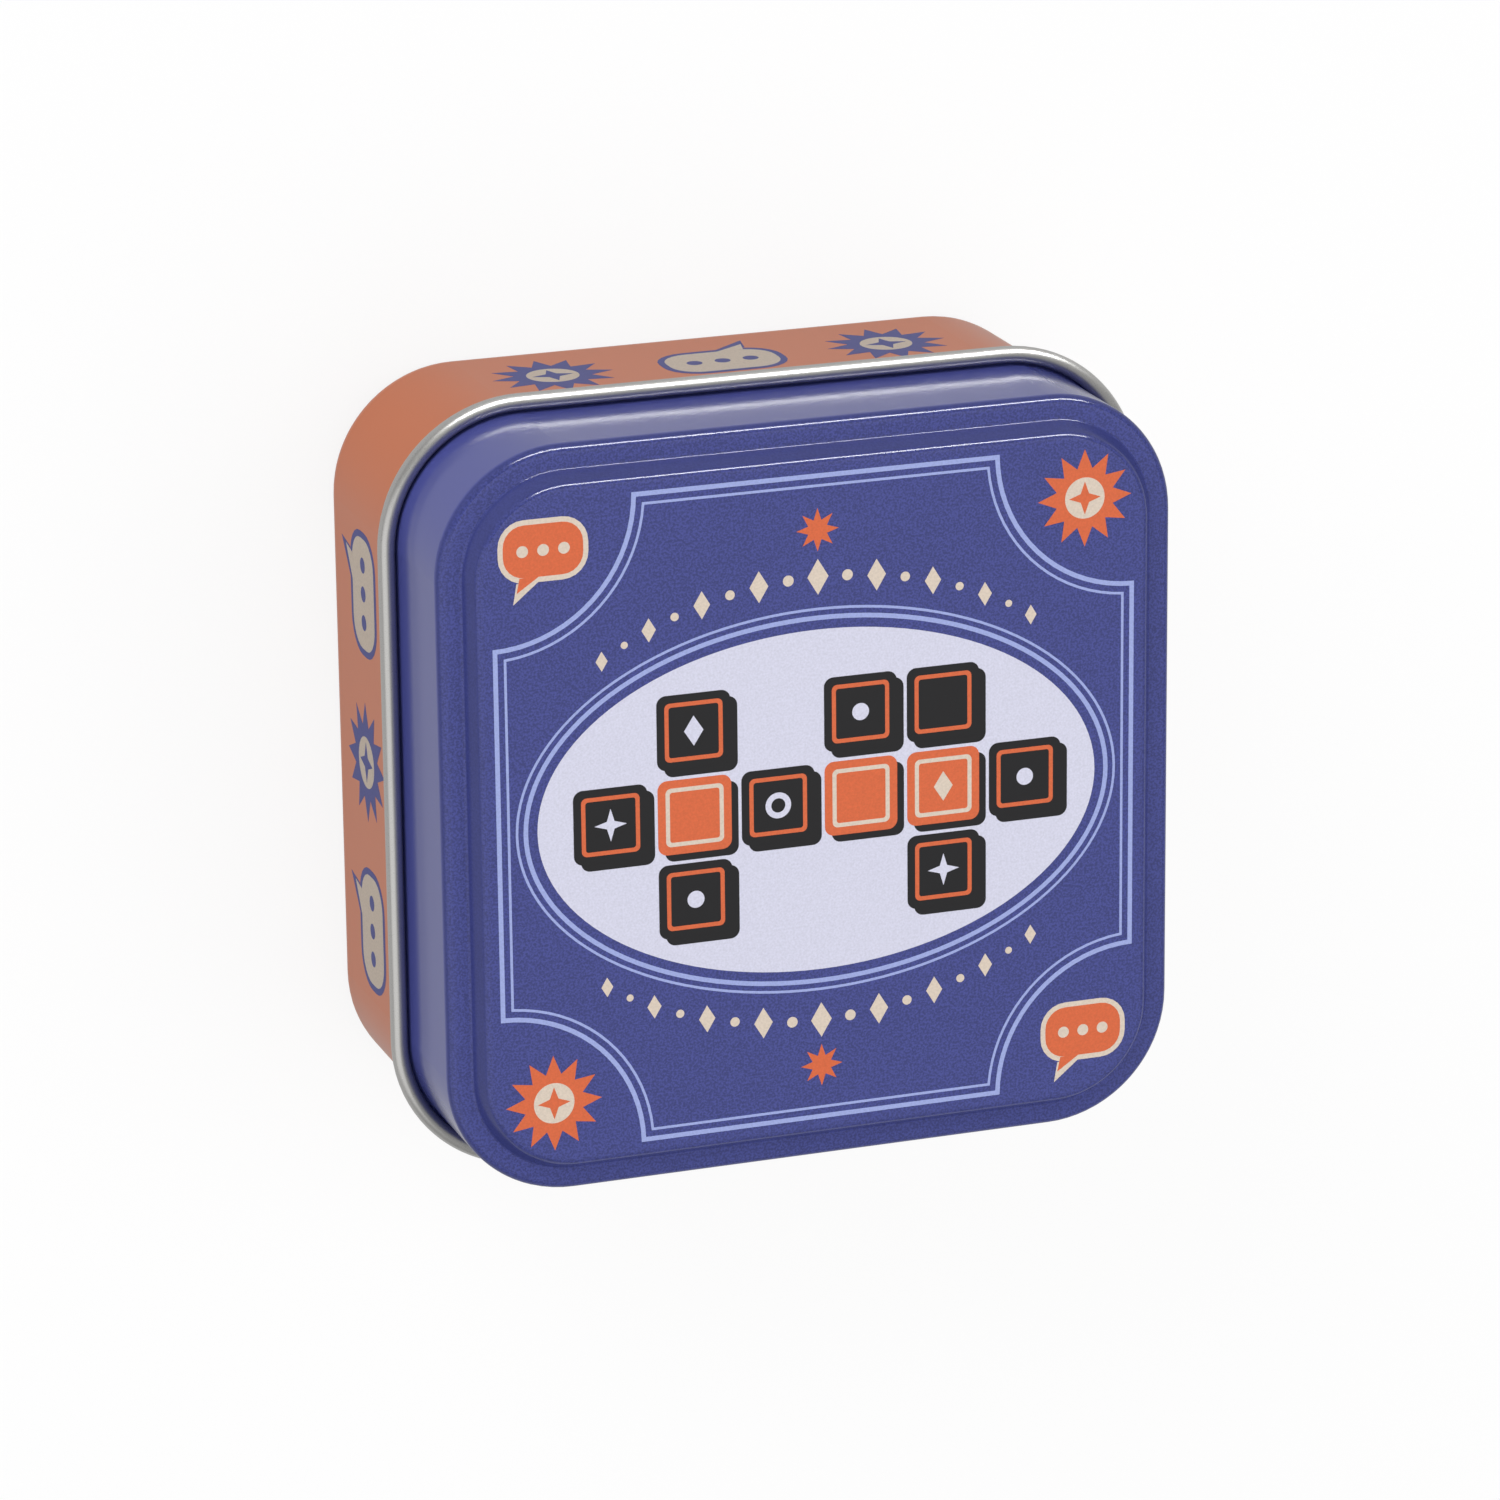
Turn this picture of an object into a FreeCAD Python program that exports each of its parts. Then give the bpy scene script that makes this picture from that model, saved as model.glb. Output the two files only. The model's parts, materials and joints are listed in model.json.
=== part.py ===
"""Square card-game tin: a drawn body, a slip lid with a rolled edge, a deck of cards and a rules leaflet.

Millimetres. The tin lies on its base, with Z up through the lid and the origin at the middle of the base's
underside. It is sized round what it holds: its plan is the card's outline grown outwards, and its height is
the pile's with room over it.
"""
import FreeCAD
import Part
import Sketcher
import math
import os

CARD_COUNT = 50
GOLDEN_TURN = 137.5  # degrees from one card's stray to the next, so that no two neighbours lie alike
ORIGIN = (-1, 1)
X_AXIS = -1
START, END, CENTRE = 1, 2, 3

SIZES = {
    # Deck and leaflet
    "card_width": 73.0,
    "card_corner": 9.9,
    "card_gauge": 0.6,
    "card_room": 0.5,
    "card_stray": 0.25,
    "paper_gauge": 0.2,
    "fold_radius": 0.1,
    "leaflet_room": 0.9,
    # Body of the tin
    "sheet_gauge": 0.3,
    "base_radius": 3.0,
    "neck_height": 11.55,
    "rim_room": 5.1,
    "rim_radius": 0.75,
    # Lid and its seat
    "lid_clearance": 0.25,
    "seat_clearance": 0.2,
    "lid_depth": 16.3,
    "edge_radius": 0.9,
    "step_depth": 2.15,
    "step_slope": 62.0,
    "foot_radius": 0.35,
    "ledge_width": 1.3,
    "shoulder_radius": 1.0,
    "roll_radius": 0.85,
    "lip_radius": 0.6,
    "lip_turn": 155.0,
}

FITS = {
    # Plan: the card, and the tin's outer wall round it, the same on lid and body
    "card_half": "sizes.card_width / 2",
    "wall_half": "fits.card_half + sizes.card_room + sizes.base_radius",
    "wall_corner": "sizes.card_corner + sizes.card_room + sizes.base_radius",
    "straight_half": "fits.wall_half - fits.wall_corner",
    "straight": "2 * fits.straight_half",
    "floor_half": "fits.wall_half - sizes.base_radius",
    "floor_corner": "fits.wall_corner - sizes.base_radius",
    # Pile inside, and the body's heights above it
    "leaflet_height": "2 * (sizes.paper_gauge + sizes.fold_radius)",
    "pile_top": f"sizes.sheet_gauge + {CARD_COUNT} * sizes.card_gauge",
    "rim_height": "fits.pile_top + fits.leaflet_height + sizes.rim_room",
    "rim_centre": "fits.rim_height - sizes.rim_radius",
    "wall_height": "fits.rim_height - sizes.neck_height",
    # Neck drawn in so that the lid's skirt lies flush with the wall below it
    "neck_inset": "sizes.sheet_gauge + sizes.lid_clearance",
    "neck_half": "fits.wall_half - fits.neck_inset",
    "neck_foot": "fits.wall_height + 2 * fits.neck_inset * sin(60 deg)",
    # Lid, whose roll comes down on the shoulder under the neck
    "seat_reach": "sizes.roll_radius + fits.neck_inset",
    "seat_gap": "fits.seat_reach + sizes.sheet_gauge + sizes.seat_clearance",
    "roll_height": "fits.wall_height + sqrt(fits.seat_gap^2 - fits.seat_reach^2)",
    "lid_top": "fits.roll_height + sizes.lid_depth",
    "ledge_height": "fits.lid_top - sizes.step_depth",
    "step_half": "fits.wall_half - sizes.shoulder_radius - sizes.ledge_width",
    "step_bend": "sizes.edge_radius + sizes.foot_radius",
    "step_sin": "sin(sizes.step_slope * 1 deg)",
    "step_cos": "cos(sizes.step_slope * 1 deg)",
    "step_fall": "sizes.step_depth - fits.step_bend * (1 - fits.step_cos)",
    "step_run": "fits.step_bend * fits.step_sin + fits.step_fall * fits.step_cos / fits.step_sin",
    "panel_half": "fits.step_half - fits.step_run",
    "panel_corner": "fits.panel_half - fits.straight_half",
    "panel_floor": "fits.lid_top - sizes.sheet_gauge",
    # Leaflet, whose square corners pass the round corners of the rim
    "mouth_corner": "fits.wall_corner - fits.neck_inset - 2 * sizes.rim_radius",
    "leaflet_half": "fits.straight_half + (fits.mouth_corner - sizes.leaflet_room) / sqrt(2)",
    "leaflet_width": "2 * fits.leaflet_half",
    "leaflet_fold": "fits.leaflet_half - sizes.paper_gauge - sizes.fold_radius",
    "leaflet_inside": "fits.pile_top + sizes.paper_gauge",
    "fold_height": "fits.leaflet_inside + sizes.fold_radius",
}

doc = FreeCAD.newDocument("card_game_tin")


def size_sheet():
    """The driving sizes, one named cell each."""
    sheet = doc.addObject("Spreadsheet::Sheet", "sizes")
    for row, (name, size) in enumerate(SIZES.items(), start=1):
        sheet.set(f"A{row}", name)
        sheet.set(f"B{row}", str(size))
        sheet.setAlias(f"B{row}", name)
    doc.recompute()


def fit_set():
    """The sizes that follow from the driving ones."""
    fits = doc.addObject("App::VarSet", "fits")
    for name, rule in FITS.items():
        fits.addProperty("App::PropertyFloat", name)
        fits.setExpression(name, rule)
    doc.recompute()


def size(cell):
    """The present value of a cell such as sizes.card_width or fits.wall_half."""
    owner, name = cell.split(".")
    return float(getattr(doc.getObject(owner), name))


class Outline:
    """A sketch of straight runs and arcs, each tangent to the one before it."""

    def __init__(self, name, upright=False):
        """Start a sketch on the XY plane, or on the XZ plane if it is upright."""
        self.sketch = doc.addObject("Sketcher::SketchObject", name)
        if upright:
            self.sketch.Placement.Rotation = FreeCAD.Rotation(FreeCAD.Vector(1, 0, 0), 90)
        self.ends = []

    def add(self, curve, first, last):
        """Add a curve that is travelled from its point first to its point last."""
        index = self.sketch.addGeometry(curve, False)
        if self.ends:
            self.fix("Tangent", index - 1, self.ends[-1][1], index, first)
        self.ends.append((first, last))
        return index

    def run(self, x0, y0, x1, y1):
        """Add a straight run, which stays upright or level if it is drawn so."""
        index = self.add(Part.LineSegment(FreeCAD.Vector(x0, y0), FreeCAD.Vector(x1, y1)), START, END)
        if x0 == x1:
            self.fix("Vertical", index)
        elif y0 == y1:
            self.fix("Horizontal", index)
        return index

    def arc(self, x, y, radius, turn_from, turn_to):
        """Add an arc about (x, y) between two directions in degrees, clockwise if they fall."""
        low, high = sorted((turn_from, turn_to))
        circle = Part.Circle(FreeCAD.Vector(x, y), FreeCAD.Vector(0, 0, 1), radius)
        ends = (START, END) if turn_from < turn_to else (END, START)
        return self.add(Part.ArcOfCircle(circle, math.radians(low), math.radians(high)), *ends)

    def close(self):
        """Join the last curve to the first, tangent as the rest."""
        last = len(self.ends) - 1
        self.fix("Tangent", last, self.ends[-1][1], 0, self.ends[0][0])

    def fix(self, kind, *places):
        """Add a constraint that has no size."""
        self.sketch.addConstraint(Sketcher.Constraint(kind, *places))

    def bind(self, kind, places, cell, unit="mm"):
        """Add a dimension that follows a cell."""
        turn = math.radians if unit == "deg" else float
        index = self.sketch.addConstraint(Sketcher.Constraint(kind, *places, turn(size(cell))))
        self.sketch.setExpression(f"Constraints[{index}]", f"{cell} * 1 {unit}")


def rounded_square(name, half_cell, corner_cell):
    """Plan outline: a square about the origin with four equal round corners."""
    half, corner = size(half_cell), size(corner_cell)
    straight = half - corner
    plan = Outline(name)
    plan.run(half, -straight, half, straight)
    plan.arc(straight, straight, corner, 0, 90)
    plan.run(straight, half, -straight, half)
    plan.arc(-straight, straight, corner, 90, 180)
    plan.run(-half, straight, -half, -straight)
    plan.arc(-straight, -straight, corner, 180, 270)
    plan.run(-straight, -half, straight, -half)
    plan.arc(straight, -straight, corner, 270, 360)
    plan.close()
    right, back, left, front = 0, 2, 4, 6
    plan.bind("Radius", (1,), corner_cell)
    for other in (3, 5, 7):
        plan.fix("Equal", 1, other)
    plan.bind("DistanceX", (*ORIGIN, right, START), half_cell)
    plan.bind("DistanceY", (*ORIGIN, back, START), half_cell)
    plan.bind("DistanceX", (left, START, *ORIGIN), half_cell)
    plan.bind("DistanceY", (front, START, *ORIGIN), half_cell)
    return plan.sketch


def body_line():
    """Outer line of the body's section: base radius, wall, drawn-in neck and the rim rolled inwards."""
    wall, neck, inset = size("fits.wall_half"), size("fits.neck_half"), size("fits.neck_inset")
    base, rim = size("sizes.base_radius"), size("sizes.rim_radius")
    wall_top, neck_foot = size("fits.wall_height"), size("fits.neck_foot")
    rim_centre = size("fits.rim_centre")
    line = Outline("body_line", upright=True)
    heel = line.arc(wall - base, base, base, 270, 360)
    side = line.run(wall, base, wall, wall_top)
    shoulder = line.arc(neck, wall_top, inset, 0, 60)
    hollow = line.arc(wall, neck_foot, inset, 240, 180)
    collar = line.run(neck, neck_foot, neck, rim_centre)
    roll = line.arc(neck - rim, rim_centre, rim, 0, 270)
    line.fix("PointOnObject", heel, START, X_AXIS)
    line.fix("Vertical", heel, START, heel, CENTRE)
    line.fix("Equal", shoulder, hollow)
    line.fix("Vertical", roll, END, roll, CENTRE)
    line.bind("Radius", (heel,), "sizes.base_radius")
    line.bind("Radius", (shoulder,), "fits.neck_inset")
    line.bind("Radius", (roll,), "sizes.rim_radius")
    line.bind("DistanceX", (*ORIGIN, side, START), "fits.wall_half")
    line.bind("DistanceX", (*ORIGIN, collar, START), "fits.neck_half")
    line.bind("DistanceY", (*ORIGIN, side, END), "fits.wall_height")
    line.bind("DistanceY", (*ORIGIN, roll, CENTRE), "fits.rim_centre")
    return line.sketch


def lid_line():
    """Outer line of the lid's section, from the raised panel to the edge rolled outwards.

    Between them it goes down a sloping step to a narrow ledge, over the shoulder and down the skirt.
    """
    wall, panel, step = size("fits.wall_half"), size("fits.panel_half"), size("fits.step_half")
    top, ledge, low = size("fits.lid_top"), size("fits.ledge_height"), size("fits.roll_height")
    edge, foot, bend = size("sizes.edge_radius"), size("sizes.foot_radius"), size("sizes.shoulder_radius")
    under, over, slope = size("sizes.roll_radius"), size("sizes.lip_radius"), size("sizes.step_slope")
    sin, cos = size("fits.step_sin"), size("fits.step_cos")
    line = Outline("lid_line", upright=True)
    brow = line.arc(panel, top - edge, edge, 90, 90 - slope)
    line.run(panel + edge * sin, top - edge + edge * cos, step - foot * sin, ledge + foot - foot * cos)
    toe = line.arc(step, ledge + foot, foot, 270 - slope, 270)
    shelf = line.run(step, ledge, wall - bend, ledge)
    shoulder = line.arc(wall - bend, ledge - bend, bend, 90, 0)
    skirt = line.run(wall, ledge - bend, wall, low)
    roll = line.arc(wall + under, low, under, 180, 360)
    lip = line.arc(wall + 2 * under - over, low, over, 0, size("sizes.lip_turn"))
    line.fix("Vertical", brow, END, brow, CENTRE)
    line.fix("Horizontal", roll, END, roll, CENTRE)
    for curve, cell in ((brow, "edge_radius"), (toe, "foot_radius"), (shoulder, "shoulder_radius"),
                        (roll, "roll_radius"), (lip, "lip_radius")):
        line.bind("Radius", (curve,), f"sizes.{cell}")
    line.bind("Angle", (brow,), "sizes.step_slope", unit="deg")
    line.bind("Angle", (lip,), "sizes.lip_turn", unit="deg")
    line.bind("DistanceX", (*ORIGIN, brow, END), "fits.panel_half")
    line.bind("DistanceX", (*ORIGIN, skirt, START), "fits.wall_half")
    line.bind("DistanceY", (*ORIGIN, brow, END), "fits.lid_top")
    line.bind("DistanceY", (*ORIGIN, shelf, START), "fits.ledge_height")
    line.bind("DistanceY", (*ORIGIN, roll, CENTRE), "fits.roll_height")
    return line.sketch


def leaflet_line():
    """Inner line of the leaflet's section: one panel, the fold and the other panel over it."""
    half, fold = size("fits.leaflet_half"), size("fits.leaflet_fold")
    inside, bend = size("fits.leaflet_inside"), size("sizes.fold_radius")
    line = Outline("leaflet_line", upright=True)
    upper = line.run(half, inside + 2 * bend, -fold, inside + 2 * bend)
    crease = line.arc(-fold, inside + bend, bend, 90, 270)
    lower = line.run(-fold, inside, half, inside)
    line.bind("Radius", (crease,), "sizes.fold_radius")
    line.bind("DistanceX", (crease, CENTRE, *ORIGIN), "fits.leaflet_fold")
    line.bind("DistanceY", (*ORIGIN, crease, CENTRE), "fits.fold_height")
    line.bind("DistanceX", (*ORIGIN, upper, START), "fits.leaflet_half")
    line.bind("DistanceX", (*ORIGIN, lower, END), "fits.leaflet_half")
    return line.sketch


def thickened(line, gauge_cell, side):
    """Section of a sheet whose one face follows the line; side is 1 or -1, towards its other face."""
    section = doc.addObject("Part::Offset2D", f"{line.Name}_section")
    section.Source = line
    section.Mode = "Skin"
    section.Fill = True
    section.setExpression("Value", f"{side} * {gauge_cell}")
    return section


def extruded(name, outline, length_cell):
    """A solid of the outline's shape, as long as the cell says."""
    solid = doc.addObject("Part::Extrusion", name)
    solid.Base = outline
    solid.DirMode = "Normal"
    solid.Solid = True
    solid.setExpression("LengthFwd", length_cell)
    return solid


def drawn_shell(name, line, side, plate_half, plate_corner, plate_height):
    """A pressed shell: its section led along the sides and round the corners, with a plate in the middle."""
    section = thickened(line, "sizes.sheet_gauge", side)
    plan = rounded_square(f"{name}_plan", plate_half, plate_corner)
    plate = extruded(f"{name}_plate", plan, "sizes.sheet_gauge")
    if plate_height:
        plate.setExpression("Placement.Base.z", plate_height)
    pieces = [plate]
    for quarter in range(4):
        turn = FreeCAD.Rotation(FreeCAD.Vector(0, 0, 1), 90 * quarter)
        along = turn.multVec(FreeCAD.Vector(0, 1, 0))
        wall = extruded(f"{name}_wall_{quarter}", section, "fits.straight")
        wall.Symmetric = True
        wall.Placement.Rotation = turn
        corner = doc.addObject("Part::Revolution", f"{name}_corner_{quarter}")
        corner.Source = section
        corner.Axis = FreeCAD.Vector(0, 0, 1)
        corner.Angle = 90
        corner.Placement.Rotation = turn
        corner.setExpression("Base.x", "fits.straight_half")
        corner.setExpression("Placement.Base.x", f"{round(along.x)} * fits.straight_half")
        corner.setExpression("Placement.Base.y", f"{round(along.y)} * fits.straight_half")
        pieces += [wall, corner]
    shell = doc.addObject("Part::MultiFuse", name)
    shell.Shapes = pieces
    shell.Refine = True
    return shell


def deck():
    """The cards, face down in one pile, each a little astray as a hand leaves it."""
    outline = rounded_square("card_outline", "fits.card_half", "sizes.card_corner")
    cards = []
    for number in range(1, CARD_COUNT + 1):
        card = extruded(f"card_{number:02d}", outline, "sizes.card_gauge")
        turn = f"{number * GOLDEN_TURN % 360} deg"
        card.setExpression("Placement.Base.x", f"sizes.card_stray * cos({turn})")
        card.setExpression("Placement.Base.y", f"sizes.card_stray * sin({turn})")
        card.setExpression("Placement.Base.z", f"sizes.sheet_gauge + {number - 1} * sizes.card_gauge")
        cards.append(card)
    return cards


def rules_leaflet():
    """One sheet of paper folded in half, on top of the deck."""
    section = thickened(leaflet_line(), "sizes.paper_gauge", -1)
    leaflet = extruded("rules_leaflet", section, "fits.leaflet_width")
    leaflet.Symmetric = True
    return leaflet


def check(nodes):
    """Stop at the first object that failed or solid that isn't whole."""
    for item in doc.Objects:
        if "Invalid" in item.State or "Error" in item.State:
            raise RuntimeError(f"{item.Name} did not build: {item.State}")
    for node in nodes:
        if node.Shape.isNull() or not node.Shape.isValid() or len(node.Shape.Solids) != 1:
            raise RuntimeError(f"{node.Label} is not one valid solid")


size_sheet()
fit_set()
nodes = [
    drawn_shell("tin_body", body_line(), 1, "fits.floor_half", "fits.floor_corner", None),
    drawn_shell("lid", lid_line(), 1, "fits.panel_half", "fits.panel_corner", "fits.panel_floor"),
    *deck(),
    rules_leaflet(),
]
doc.recompute()
check(nodes)
os.makedirs("parts", exist_ok=True)
for node in nodes:
    node.Shape.exportStep(f"parts/{node.Label}.step")
    box = node.Shape.optimalBoundingBox(False, False)
    print(f"{node.Label}: {node.Shape.Volume:.2f} mm3, z {box.ZMin:.3f} to {box.ZMax:.3f}")
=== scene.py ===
"""Looks of a square tin for a card game: printed tinplate, bare rolled edges, a deck and a leaflet.

Everything is in metres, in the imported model's frame, and print is drawn in millimetres. The tin lies
on its base with +Z up, and its print reads with +Y at the top and +X to the right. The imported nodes
keep their shapes and are given finishes. The print is laid on them as films of ink a few hundredths
of a millimetre thick.
"""

import json
import logging
import math
from dataclasses import dataclass, field
from enum import Enum

import bmesh
import bpy
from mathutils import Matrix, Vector

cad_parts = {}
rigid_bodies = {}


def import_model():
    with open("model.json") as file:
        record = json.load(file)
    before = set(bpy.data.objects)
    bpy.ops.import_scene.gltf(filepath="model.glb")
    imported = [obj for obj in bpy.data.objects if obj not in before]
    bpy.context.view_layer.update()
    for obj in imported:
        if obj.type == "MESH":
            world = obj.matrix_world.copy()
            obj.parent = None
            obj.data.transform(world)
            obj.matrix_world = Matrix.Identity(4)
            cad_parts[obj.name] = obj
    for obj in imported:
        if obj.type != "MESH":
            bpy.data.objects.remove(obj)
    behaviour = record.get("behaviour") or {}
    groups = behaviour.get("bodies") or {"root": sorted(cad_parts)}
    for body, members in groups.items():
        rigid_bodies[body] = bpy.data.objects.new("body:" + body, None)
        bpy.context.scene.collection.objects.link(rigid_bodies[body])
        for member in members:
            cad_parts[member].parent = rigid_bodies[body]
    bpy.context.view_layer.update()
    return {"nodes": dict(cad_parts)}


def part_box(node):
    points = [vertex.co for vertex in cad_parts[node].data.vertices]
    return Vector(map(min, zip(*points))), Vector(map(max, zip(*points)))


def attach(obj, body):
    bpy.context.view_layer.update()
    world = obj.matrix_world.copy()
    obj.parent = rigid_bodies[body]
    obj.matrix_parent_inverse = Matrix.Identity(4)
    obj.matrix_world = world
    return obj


LOG = logging.getLogger("game_tin")
MM = 0.001
WALL_CORNER = 13.4 * MM
# Most of a noise lies between these
NOISE_LOW, NOISE_HIGH = 0.3, 0.7

Tree = bpy.types.NodeTree
Socket = bpy.types.NodeSocket
Pair = tuple[float, float]
Loop = list[Pair]
Colour = tuple[float, float, float, float]


def linear(hex_code: str, lift: float = 1.0) -> Colour:
    """Turn an sRGB hex colour into linear RGBA.

    Args:
        hex_code: the colour, such as "#4D5089".
        lift: a factor on the linear channels, for a lighter or darker shade.

    Returns:
        Red, green and blue as linear light, and an alpha of one.
    """
    shares = [int(hex_code[i : i + 2], 16) / 255 for i in (1, 3, 5)]
    red, green, blue = (s / 12.92 if s <= 0.04045 else ((s + 0.055) / 1.055) ** 2.4 for s in shares)
    return (red * lift, green * lift, blue * lift, 1.0)


def add_node(tree: Tree, kind: str, inputs: dict | None = None, **settings) -> bpy.types.Node:
    """Add a node with its settings, values and links.

    Args:
        tree: the node tree it goes into.
        kind: Blender's name for the node's type, after ShaderNode.
        inputs: for each input, by name or number, a socket to link or a value to set.
        **settings: the node's own properties.

    Returns:
        The new node.
    """
    node = tree.nodes.new(f"ShaderNode{kind}")
    for setting, value in settings.items():
        setattr(node, setting, value)
    for socket, value in (inputs or {}).items():
        if isinstance(value, Socket):
            tree.links.new(value, node.inputs[socket])
        else:
            node.inputs[socket].default_value = value
    return node


def new_material(name: str) -> bpy.types.Material:
    """Make a material whose node tree is empty.

    Args:
        name: its name.

    Returns:
        The material.
    """
    material = bpy.data.materials.new(name)
    material.use_nodes = True
    material.node_tree.nodes.clear()
    return material


def end_material(tree: Tree, height: Socket, inputs: dict) -> None:
    """End a material with one shader.

    Args:
        tree: the material's node tree.
        height: the height of its fine relief, in metres.
        inputs: the shader's other inputs, as for a node.
    """
    relief = add_node(tree, "Bump", {"Height": height, "Distance": 1.0}).outputs[0]
    shader = add_node(tree, "BsdfPrincipled", {**inputs, "Normal": relief})
    add_node(tree, "OutputMaterial", {"Surface": shader.outputs[0]})


def corner_way(tree: Tree, place: Socket, straight: float) -> Socket:
    """Give the way out to a point from the square between the corner arcs' centres.

    Args:
        tree: the material's node tree.
        place: the point.
        straight: half the side of that square.

    Returns:
        A level vector, folded into the first quarter, whose length is the same all along a rounded square.
    """
    folded = add_node(tree, "VectorMath", {0: place}, operation="ABSOLUTE").outputs[0]
    past = add_node(
        tree, "VectorMath", {0: folded, 1: (straight, straight, 0)}, operation="SUBTRACT"
    ).outputs[0]
    past = add_node(tree, "VectorMath", {0: past, 1: (0, 0, 0)}, operation="MAXIMUM").outputs[0]
    return add_node(tree, "VectorMath", {0: past, 1: (1, 1, 0)}, operation="MULTIPLY").outputs[0]


def dress(node: bpy.types.Object, material: bpy.types.Material) -> None:
    """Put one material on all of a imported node."""
    node.data.materials.clear()
    node.data.materials.append(material)


# Outlines of print, in millimetres, each running anticlockwise

# Where a bubble's tail starts, points and ends, from the bubble's middle, as shares of its width
TAIL_SHARES = (-0.30, -0.34, -0.06)


def arc(centre: Pair, radius: float, start: float, end: float, steps: int) -> Loop:
    """Give points along a round stretch.

    Args:
        centre: the middle of the arc.
        radius: its radius.
        start: the angle of its first point, in degrees.
        end: the angle of its last point, in degrees.
        steps: the number of chords.

    Returns:
        The points, both ends included.
    """
    angles = [math.radians(start + (end - start) * i / steps) for i in range(steps + 1)]
    return [(centre[0] + radius * math.cos(a), centre[1] + radius * math.sin(a)) for a in angles]


def placed(loop: Loop, x: float, y: float, turn: float = 0.0) -> Loop:
    """Turn an outline about its origin by some degrees, then move it to x, y."""
    cos, sin = math.cos(math.radians(turn)), math.sin(math.radians(turn))
    return [(x + cos * a - sin * b, y + sin * a + cos * b) for a, b in loop]


def rounded_box(width: float, height: float, radius: float, steps: int = 6) -> Loop:
    """Outline a box with round corners.

    Args:
        width: its width.
        height: its height.
        radius: the radius of its corners.
        steps: the number of chords in each corner.

    Returns:
        The outline, from its lower right corner on.
    """
    across, along = width / 2 - radius, height / 2 - radius
    corners = ((across, -along, 270), (across, along, 0), (-across, along, 90), (-across, -along, 180))
    return [p for x, y, turn in corners for p in arc((x, y), radius, turn, turn + 90, steps)]


def ticket(half: float, bite: float, inset: float, steps: int = 18) -> Loop:
    """Outline a square whose corners are bitten out by round arcs.

    Args:
        half: half the width of the outermost such outline.
        bite: the radius of the corner arcs on that outline.
        inset: how far this outline lies inside the outermost one.
        steps: the number of chords in each arc.

    Returns:
        The outline.
    """
    radius = bite + inset
    lean = math.degrees(math.asin(inset / radius))
    corner = arc((half, half), radius, 270 - lean, 180 + lean, steps)
    return [p for quarter in range(4) for p in placed(corner, 0, 0, 90 * quarter)]


def oval(half_width: float, half_height: float, steps: int = 120) -> Loop:
    """Outline an ellipse."""
    return [(half_width * x, half_height * y) for x, y in arc((0, 0), 1, 0, 360, steps)[:-1]]


def burst(tips: int, outer: float, inner: float) -> Loop:
    """Outline a star of straight rays, one ray pointing up."""
    radii = (outer, inner) * tips
    return [arc((0, 0), r, 90 + 180 * i / tips, 90, 1)[0] for i, r in enumerate(radii)]


def bubble(width: float, height: float, radius: float, tail: float) -> Loop:
    """Outline a speech bubble whose tail hangs from the left of its lower edge.

    Args:
        width: the width of its rounded box.
        height: the height of that box.
        radius: the radius of the box's corners.
        tail: how far the tail hangs below the box.

    Returns:
        The outline.
    """
    foot = -height / 2
    start, tip, end = (share * width for share in TAIL_SHARES)
    return rounded_box(width, height, radius) + [(start, foot), (tip, foot - tail), (end, foot)]


# Finishes


class Ink(Enum):
    """Printing inks, each a name and its colour."""

    PALE = ("pale", "#CDCDDF")
    SKY = ("sky", "#96A2D6")
    BLACK = ("black", "#0E0D10")
    ORANGE = ("orange", "#CF5F32")
    CREAM = ("cream", "#D2C3B3")
    BLUE = ("blue", "#4A4E8E")


class Stock(Enum):
    """What an ink is printed on: a name, then how rough and how deep-grained its dried film is."""

    TINPLATE = ("varnished_tinplate", 0.55, 2.0e-6)
    PAPER = ("uncoated_paper", 0.78, 6.0e-6)


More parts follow.
